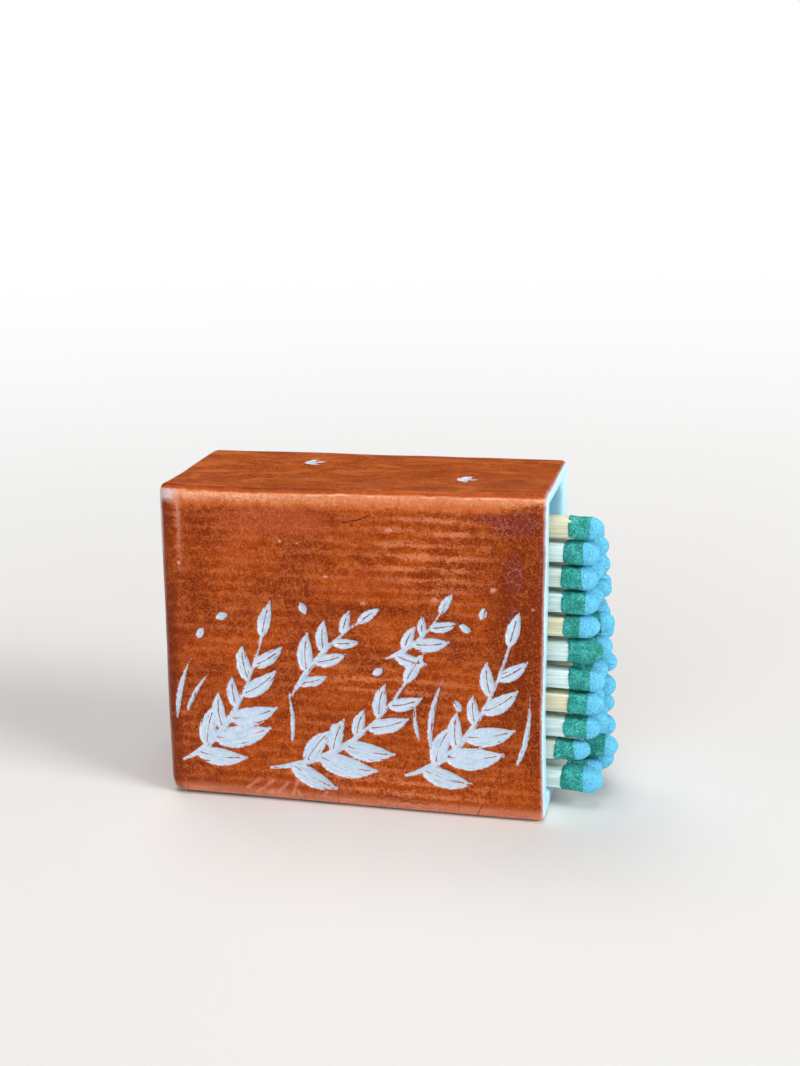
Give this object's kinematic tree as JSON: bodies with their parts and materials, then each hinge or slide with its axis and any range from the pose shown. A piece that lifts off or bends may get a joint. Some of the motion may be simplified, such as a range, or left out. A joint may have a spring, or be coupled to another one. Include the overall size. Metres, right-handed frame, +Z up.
{
  "type": "matchbox holder",
  "caption": "Small hand-built glazed ceramic box lying on its narrow side, open at one end, holding a loose stack of wooden matches with two-tone heads.",
  "frame": {"origin": "centre of the flat face that the box rests on", "axes": "+X out of the open end, +Y to the back, +Z up"},
  "size_m": [0.052, 0.02, 0.038],
  "materials": {
    "glazed_clay": "gloss",
    "match_wood": "matte",
    "match_head": "matte"
  },
  "bodies": {
    "holder": {"holder": "glazed_clay"},
    "match_front_01": {"match_front_01": "match_wood"},
    "match_front_02": {"match_front_02": "match_wood"},
    "match_front_03": {"match_front_03": "match_wood"},
    "match_front_04": {"match_front_04": "match_wood"},
    "match_front_05": {"match_front_05": "match_wood"},
    "match_front_06": {"match_front_06": "match_wood"},
    "match_front_07": {"match_front_07": "match_wood"},
    "match_front_08": {"match_front_08": "match_wood"},
    "match_front_09": {"match_front_09": "match_wood"},
    "match_front_10": {"match_front_10": "match_wood"},
    "match_front_11": {"match_front_11": "match_wood"},
    "match_second_01": {"match_second_01": "match_wood"},
    "match_second_02": {"match_second_02": "match_wood"},
    "match_second_03": {"match_second_03": "match_wood"},
    "match_second_04": {"match_second_04": "match_wood"},
    "match_second_05": {"match_second_05": "match_wood"},
    "match_second_06": {"match_second_06": "match_wood"},
    "match_second_07": {"match_second_07": "match_wood"},
    "match_second_08": {"match_second_08": "match_wood"},
    "match_second_09": {"match_second_09": "match_wood"},
    "match_second_10": {"match_second_10": "match_wood"},
    "match_third_01": {"match_third_01": "match_wood"},
    "match_third_02": {"match_third_02": "match_wood"},
    "match_third_03": {"match_third_03": "match_wood"},
    "match_third_04": {"match_third_04": "match_wood"},
    "match_third_05": {"match_third_05": "match_wood"},
    "match_third_06": {"match_third_06": "match_wood"},
    "match_third_07": {"match_third_07": "match_wood"},
    "match_third_08": {"match_third_08": "match_wood"},
    "match_third_09": {"match_third_09": "match_wood"},
    "match_third_10": {"match_third_10": "match_wood"},
    "match_back_01": {"match_back_01": "match_wood"},
    "match_back_02": {"match_back_02": "match_wood"},
    "match_back_03": {"match_back_03": "match_wood"},
    "match_back_04": {"match_back_04": "match_wood"},
    "match_back_05": {"match_back_05": "match_wood"},
    "match_back_06": {"match_back_06": "match_wood"},
    "match_back_07": {"match_back_07": "match_wood"},
    "match_back_08": {"match_back_08": "match_wood"},
    "match_back_09": {"match_back_09": "match_wood"},
    "match_back_10": {"match_back_10": "match_wood"}
  },
  "joints": [
    {"name": "pull_front_01", "type": "slide", "parent": "holder", "child": "match_front_01", "axis": [1, 0, 0], "range_m": [-0.0015, 0.0484]},
    {"name": "pull_front_02", "type": "slide", "parent": "holder", "child": "match_front_02", "axis": [1, 0, 0], "range_m": [0, 0.0499]},
    {"name": "pull_front_03", "type": "slide", "parent": "holder", "child": "match_front_03", "axis": [1, 0, 0], "range_m": [-0.0011, 0.0488]},
    {"name": "pull_front_04", "type": "slide", "parent": "holder", "child": "match_front_04", "axis": [1, 0, 0], "range_m": [-0.0015, 0.0484]},
    {"name": "pull_front_05", "type": "slide", "parent": "holder", "child": "match_front_05", "axis": [1, 0, 0], "range_m": [-0.0016, 0.0483]},
    {"name": "pull_front_06", "type": "slide", "parent": "holder", "child": "match_front_06", "axis": [1, 0, 0], "range_m": [-0.0013, 0.0486]},
    {"name": "pull_front_07", "type": "slide", "parent": "holder", "child": "match_front_07", "axis": [1, 0, 0], "range_m": [-0.0009, 0.049]},
    {"name": "pull_front_08", "type": "slide", "parent": "holder", "child": "match_front_08", "axis": [1, 0, 0], "range_m": [-0.0007, 0.0492]},
    {"name": "pull_front_09", "type": "slide", "parent": "holder", "child": "match_front_09", "axis": [1, 0, 0], "range_m": [-0.0006, 0.0493]},
    {"name": "pull_front_10", "type": "slide", "parent": "holder", "child": "match_front_10", "axis": [1, 0, 0], "range_m": [-0.0008, 0.0491]},
    {"name": "pull_front_11", "type": "slide", "parent": "holder", "child": "match_front_11", "axis": [1, 0, 0], "range_m": [-0.0012, 0.0487]},
    {"name": "pull_second_01", "type": "slide", "parent": "holder", "child": "match_second_01", "axis": [1, 0, 0], "range_m": [-0.0011, 0.0488]},
    {"name": "pull_second_02", "type": "slide", "parent": "holder", "child": "match_second_02", "axis": [1, 0, 0], "range_m": [-0.0029, 0.047]},
    {"name": "pull_second_03", "type": "slide", "parent": "holder", "child": "match_second_03", "axis": [1, 0, 0], "range_m": [-0.0018, 0.0481]},
    {"name": "pull_second_04", "type": "slide", "parent": "holder", "child": "match_second_04", "axis": [1, 0, 0], "range_m": [-0.0012, 0.0487]},
    {"name": "pull_second_05", "type": "slide", "parent": "holder", "child": "match_second_05", "axis": [1, 0, 0], "range_m": [-0.0016, 0.0483]},
    {"name": "pull_second_06", "type": "slide", "parent": "holder", "child": "match_second_06", "axis": [1, 0, 0], "range_m": [-0.0021, 0.0478]},
    {"name": "pull_second_07", "type": "slide", "parent": "holder", "child": "match_second_07", "axis": [1, 0, 0], "range_m": [-0.0023, 0.0476]},
    {"name": "pull_second_08", "type": "slide", "parent": "holder", "child": "match_second_08", "axis": [1, 0, 0], "range_m": [-0.001, 0.0489]},
    {"name": "pull_second_09", "type": "slide", "parent": "holder", "child": "match_second_09", "axis": [1, 0, 0], "range_m": [-0.001, 0.0489]},
    {"name": "pull_second_10", "type": "slide", "parent": "holder", "child": "match_second_10", "axis": [1, 0, 0], "range_m": [-0.0015, 0.0484]},
    {"name": "pull_third_01", "type": "slide", "parent": "holder", "child": "match_third_01", "axis": [1, 0, 0], "range_m": [-0.0022, 0.0477]},
    {"name": "pull_third_02", "type": "slide", "parent": "holder", "child": "match_third_02", "axis": [1, 0, 0], "range_m": [-0.0013, 0.0486]},
    {"name": "pull_third_03", "type": "slide", "parent": "holder", "child": "match_third_03", "axis": [1, 0, 0], "range_m": [-0.0014, 0.0485]},
    {"name": "pull_third_04", "type": "slide", "parent": "holder", "child": "match_third_04", "axis": [1, 0, 0], "range_m": [-0.0023, 0.0476]},
    {"name": "pull_third_05", "type": "slide", "parent": "holder", "child": "match_third_05", "axis": [1, 0, 0], "range_m": [-0.0024, 0.0475]},
    {"name": "pull_third_06", "type": "slide", "parent": "holder", "child": "match_third_06", "axis": [1, 0, 0], "range_m": [-0.0012, 0.0487]},
    {"name": "pull_third_07", "type": "slide", "parent": "holder", "child": "match_third_07", "axis": [1, 0, 0], "range_m": [-0.0015, 0.0484]},
    {"name": "pull_third_08", "type": "slide", "parent": "holder", "child": "match_third_08", "axis": [1, 0, 0], "range_m": [-0.0016, 0.0483]},
    {"name": "pull_third_09", "type": "slide", "parent": "holder", "child": "match_third_09", "axis": [1, 0, 0], "range_m": [-0.0014, 0.0485]},
    {"name": "pull_third_10", "type": "slide", "parent": "holder", "child": "match_third_10", "axis": [1, 0, 0], "range_m": [-0.0005, 0.0494]},
    {"name": "pull_back_01", "type": "slide", "parent": "holder", "child": "match_back_01", "axis": [1, 0, 0], "range_m": [-0.001, 0.0489]},
    {"name": "pull_back_02", "type": "slide", "parent": "holder", "child": "match_back_02", "axis": [1, 0, 0], "range_m": [-0.0021, 0.0478]},
    {"name": "pull_back_03", "type": "slide", "parent": "holder", "child": "match_back_03", "axis": [1, 0, 0], "range_m": [-0.0019, 0.048]},
    {"name": "pull_back_04", "type": "slide", "parent": "holder", "child": "match_back_04", "axis": [1, 0, 0], "range_m": [-0.0011, 0.0488]},
    {"name": "pull_back_05", "type": "slide", "parent": "holder", "child": "match_back_05", "axis": [1, 0, 0], "range_m": [-0.0014, 0.0485]},
    {"name": "pull_back_06", "type": "slide", "parent": "holder", "child": "match_back_06", "axis": [1, 0, 0], "range_m": [-0.0017, 0.0482]},
    {"name": "pull_back_07", "type": "slide", "parent": "holder", "child": "match_back_07", "axis": [1, 0, 0], "range_m": [-0.0009, 0.049]},
    {"name": "pull_back_08", "type": "slide", "parent": "holder", "child": "match_back_08", "axis": [1, 0, 0], "range_m": [-0.0013, 0.0486]},
    {"name": "pull_back_09", "type": "slide", "parent": "holder", "child": "match_back_09", "axis": [1, 0, 0], "range_m": [-0.0007, 0.0492]},
    {"name": "pull_back_10", "type": "slide", "parent": "holder", "child": "match_back_10", "axis": [1, 0, 0], "range_m": [-0.0004, 0.0495]}
  ]
}
